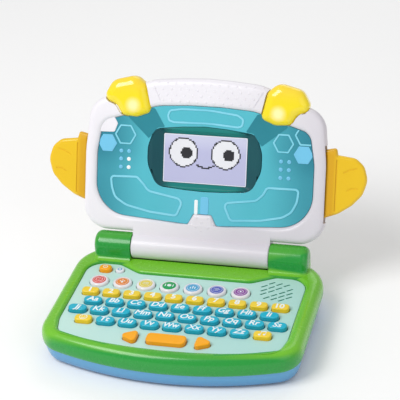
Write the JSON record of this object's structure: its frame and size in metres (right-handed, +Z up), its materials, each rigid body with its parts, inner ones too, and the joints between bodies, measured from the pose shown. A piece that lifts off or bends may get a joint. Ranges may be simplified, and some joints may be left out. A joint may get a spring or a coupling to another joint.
{
  "type": "toy laptop computer",
  "caption": "Child's toy laptop with a hinged lid, small display, lit antenna lamps, ears and a sprung alphabet keyboard.",
  "frame": {"origin": "centre of the bounding box in plan, on the surface the feet stand on, with the lid open", "axes": "+X to the user's right, +Y away from the user towards the lid, +Z up"},
  "size_m": [0.2956, 0.2236, 0.1889],
  "materials": {
    "base_blue": "moulded, semi-gloss",
    "base_green": "moulded, semi-gloss",
    "plate_mint": "moulded, satin",
    "cell_jacket": "printed jacket",
    "board_green": "solder mask",
    "rubber_dark": "matt",
    "speaker_grey": "paper cone and steel frame",
    "steel": "plated",
    "lid_white": "moulded, semi-gloss",
    "panel_teal": "printed film, gloss",
    "bezel_teal": "moulded, semi-gloss",
    "window_clear": "clear, polished",
    "module_dark": "display module",
    "lamp_yellow": "translucent, polished",
    "light_white": "lamp holder",
    "ear_yellow": "moulded, semi-gloss",
    "key_yellow": "moulded, gloss",
    "key_teal": "moulded, gloss",
    "key_orange": "moulded, gloss",
    "button_white": "moulded, gloss"
  },
  "bodies": {
    "base": {"base_lower_shell": "base_blue", "base_upper_shell": "base_green", "keyboard_faceplate": "plate_mint", "battery_door": "base_blue", "battery_cell_1": "cell_jacket", "battery_cell_2": "cell_jacket", "battery_cell_3": "cell_jacket", "main_circuit_board": "board_green", "rubber_key_mat": "rubber_dark", "loudspeaker": "speaker_grey", "foot_front_left": "rubber_dark", "foot_front_right": "rubber_dark", "foot_rear_left": "rubber_dark", "foot_rear_right": "rubber_dark", "hinge_pin_left": "steel", "hinge_pin_right": "steel", "base_screw_front_left": "steel", "base_screw_front_right": "steel", "base_screw_rear_left": "steel", "base_screw_rear_right": "steel", "battery_door_screw": "steel"},
    "lid": {"lid_front_shell": "lid_white", "lid_back_shell": "lid_white", "face_panel": "panel_teal", "screen_bezel": "bezel_teal", "screen_window": "window_clear", "lcd_module": "module_dark", "antenna_lamp_left": "lamp_yellow", "antenna_lamp_right": "lamp_yellow", "lamp_light_left": "light_white", "lamp_light_right": "light_white"},
    "ear_left": {"ear_left": "ear_yellow"},
    "ear_right": {"ear_right": "ear_yellow"},
    "number_key_1": {"number_key_1": "key_yellow"},
    "number_key_2": {"number_key_2": "key_yellow"},
    "number_key_3": {"number_key_3": "key_yellow"},
    "number_key_4": {"number_key_4": "key_yellow"},
    "number_key_5": {"number_key_5": "key_yellow"},
    "number_key_6": {"number_key_6": "key_yellow"},
    "number_key_7": {"number_key_7": "key_yellow"},
    "number_key_8": {"number_key_8": "key_yellow"},
    "number_key_9": {"number_key_9": "key_yellow"},
    "number_key_10": {"number_key_10": "key_yellow"},
    "letter_keys_a_to_i": {"letter_keys_a_to_i": "key_teal"},
    "letter_keys_j_to_s": {"letter_keys_j_to_s": "key_teal"},
    "letter_keys_t_to_z": {"letter_keys_t_to_z": "key_teal"},
    "smile_key": {"smile_key": "key_yellow"},
    "music_key": {"music_key": "key_yellow"},
    "enter_key": {"enter_key": "key_orange"},
    "arrow_key_left": {"arrow_key_left": "key_orange"},
    "arrow_key_right": {"arrow_key_right": "key_orange"},
    "mode_button_1": {"mode_button_1": "button_white"},
    "mode_button_2": {"mode_button_2": "button_white"},
    "mode_button_3": {"mode_button_3": "button_white"},
    "mode_button_4": {"mode_button_4": "button_white"},
    "mode_button_5": {"mode_button_5": "button_white"},
    "mode_button_6": {"mode_button_6": "button_white"},
    "mode_button_7": {"mode_button_7": "button_white"},
    "power_button": {"power_button": "key_orange"},
    "volume_button": {"volume_button": "button_white"}
  },
  "joints": [
    {"name": "lid_hinge", "type": "hinge", "parent": "base", "child": "lid", "pos_m": [0, 0.04523, 0.043], "axis": [1, 0, 0], "range_deg": [-6, 111.5]},
    {"name": "ear_left_wave", "type": "hinge", "parent": "lid", "child": "ear_left", "pos_m": [-0.1066, 0.07368, 0.10703], "axis": [0, 0.3665, 0.9304], "range_deg": [-12, 12], "stiffness_Nm_per_rad": 0.06},
    {"name": "ear_right_wave", "type": "hinge", "parent": "lid", "child": "ear_right", "pos_m": [0.1066, 0.07368, 0.10703], "axis": [0, -0.3665, -0.9304], "range_deg": [-12, 12], "stiffness_Nm_per_rad": 0.06},
    {"name": "number_key_1_press", "type": "slide", "parent": "base", "child": "number_key_1", "axis": [0, 0, -1], "range_m": [0, 0.0015], "stiffness_N_per_m": 450},
    {"name": "number_key_2_press", "type": "slide", "parent": "base", "child": "number_key_2", "axis": [0, 0, -1], "range_m": [0, 0.0015], "stiffness_N_per_m": 450},
    {"name": "number_key_3_press", "type": "slide", "parent": "base", "child": "number_key_3", "axis": [0, 0, -1], "range_m": [0, 0.0015], "stiffness_N_per_m": 450},
    {"name": "number_key_4_press", "type": "slide", "parent": "base", "child": "number_key_4", "axis": [0, 0, -1], "range_m": [0, 0.0015], "stiffness_N_per_m": 450},
    {"name": "number_key_5_press", "type": "slide", "parent": "base", "child": "number_key_5", "axis": [0, 0, -1], "range_m": [0, 0.0015], "stiffness_N_per_m": 450},
    {"name": "number_key_6_press", "type": "slide", "parent": "base", "child": "number_key_6", "axis": [0, 0, -1], "range_m": [0, 0.0015], "stiffness_N_per_m": 450},
    {"name": "number_key_7_press", "type": "slide", "parent": "base", "child": "number_key_7", "axis": [0, 0, -1], "range_m": [0, 0.0015], "stiffness_N_per_m": 450},
    {"name": "number_key_8_press", "type": "slide", "parent": "base", "child": "number_key_8", "axis": [0, 0, -1], "range_m": [0, 0.0015], "stiffness_N_per_m": 450},
    {"name": "number_key_9_press", "type": "slide", "parent": "base", "child": "number_key_9", "axis": [0, 0, -1], "range_m": [0, 0.0015], "stiffness_N_per_m": 450},
    {"name": "number_key_10_press", "type": "slide", "parent": "base", "child": "number_key_10", "axis": [0, 0, -1], "range_m": [0, 0.0015], "stiffness_N_per_m": 450},
    {"name": "letter_keys_a_to_i_press", "type": "slide", "parent": "base", "child": "letter_keys_a_to_i", "axis": [0, 0, -1], "range_m": [0, 0.0015], "stiffness_N_per_m": 1800},
    {"name": "letter_keys_j_to_s_press", "type": "slide", "parent": "base", "child": "letter_keys_j_to_s", "axis": [0, 0, -1], "range_m": [0, 0.0015], "stiffness_N_per_m": 1800},
    {"name": "letter_keys_t_to_z_press", "type": "slide", "parent": "base", "child": "letter_keys_t_to_z", "axis": [0, 0, -1], "range_m": [0, 0.0015], "stiffness_N_per_m": 1800},
    {"name": "smile_key_press", "type": "slide", "parent": "base", "child": "smile_key", "axis": [0, 0, -1], "range_m": [0, 0.0015], "stiffness_N_per_m": 450},
    {"name": "music_key_press", "type": "slide", "parent": "base", "child": "music_key", "axis": [0, 0, -1], "range_m": [0, 0.0015], "stiffness_N_per_m": 450},
    {"name": "enter_key_press", "type": "slide", "parent": "base", "child": "enter_key", "axis": [0, 0, -1], "range_m": [0, 0.0015], "stiffness_N_per_m": 450},
    {"name": "arrow_key_left_press", "type": "slide", "parent": "base", "child": "arrow_key_left", "axis": [0, 0, -1], "range_m": [0, 0.0015], "stiffness_N_per_m": 450},
    {"name": "arrow_key_right_press", "type": "slide", "parent": "base", "child": "arrow_key_right", "axis": [0, 0, -1], "range_m": [0, 0.0015], "stiffness_N_per_m": 450},
    {"name": "mode_button_1_press", "type": "slide", "parent": "base", "child": "mode_button_1", "axis": [0, 0, -1], "range_m": [0, 0.0015], "stiffness_N_per_m": 450},
    {"name": "mode_button_2_press", "type": "slide", "parent": "base", "child": "mode_button_2", "axis": [0, 0, -1], "range_m": [0, 0.0015], "stiffness_N_per_m": 450},
    {"name": "mode_button_3_press", "type": "slide", "parent": "base", "child": "mode_button_3", "axis": [0, 0, -1], "range_m": [0, 0.0015], "stiffness_N_per_m": 450},
    {"name": "mode_button_4_press", "type": "slide", "parent": "base", "child": "mode_button_4", "axis": [0, 0, -1], "range_m": [0, 0.0015], "stiffness_N_per_m": 450},
    {"name": "mode_button_5_press", "type": "slide", "parent": "base", "child": "mode_button_5", "axis": [0, 0, -1], "range_m": [0, 0.0015], "stiffness_N_per_m": 450},
    {"name": "mode_button_6_press", "type": "slide", "parent": "base", "child": "mode_button_6", "axis": [0, 0, -1], "range_m": [0, 0.0015], "stiffness_N_per_m": 450},
    {"name": "mode_button_7_press", "type": "slide", "parent": "base", "child": "mode_button_7", "axis": [0, 0, -1], "range_m": [0, 0.0015], "stiffness_N_per_m": 450},
    {"name": "power_button_press", "type": "slide", "parent": "base", "child": "power_button", "axis": [0, 0, -1], "range_m": [0, 0.0015], "stiffness_N_per_m": 450},
    {"name": "volume_button_press", "type": "slide", "parent": "base", "child": "volume_button", "axis": [0, 0, -1], "range_m": [0, 0.0015], "stiffness_N_per_m": 450}
  ]
}
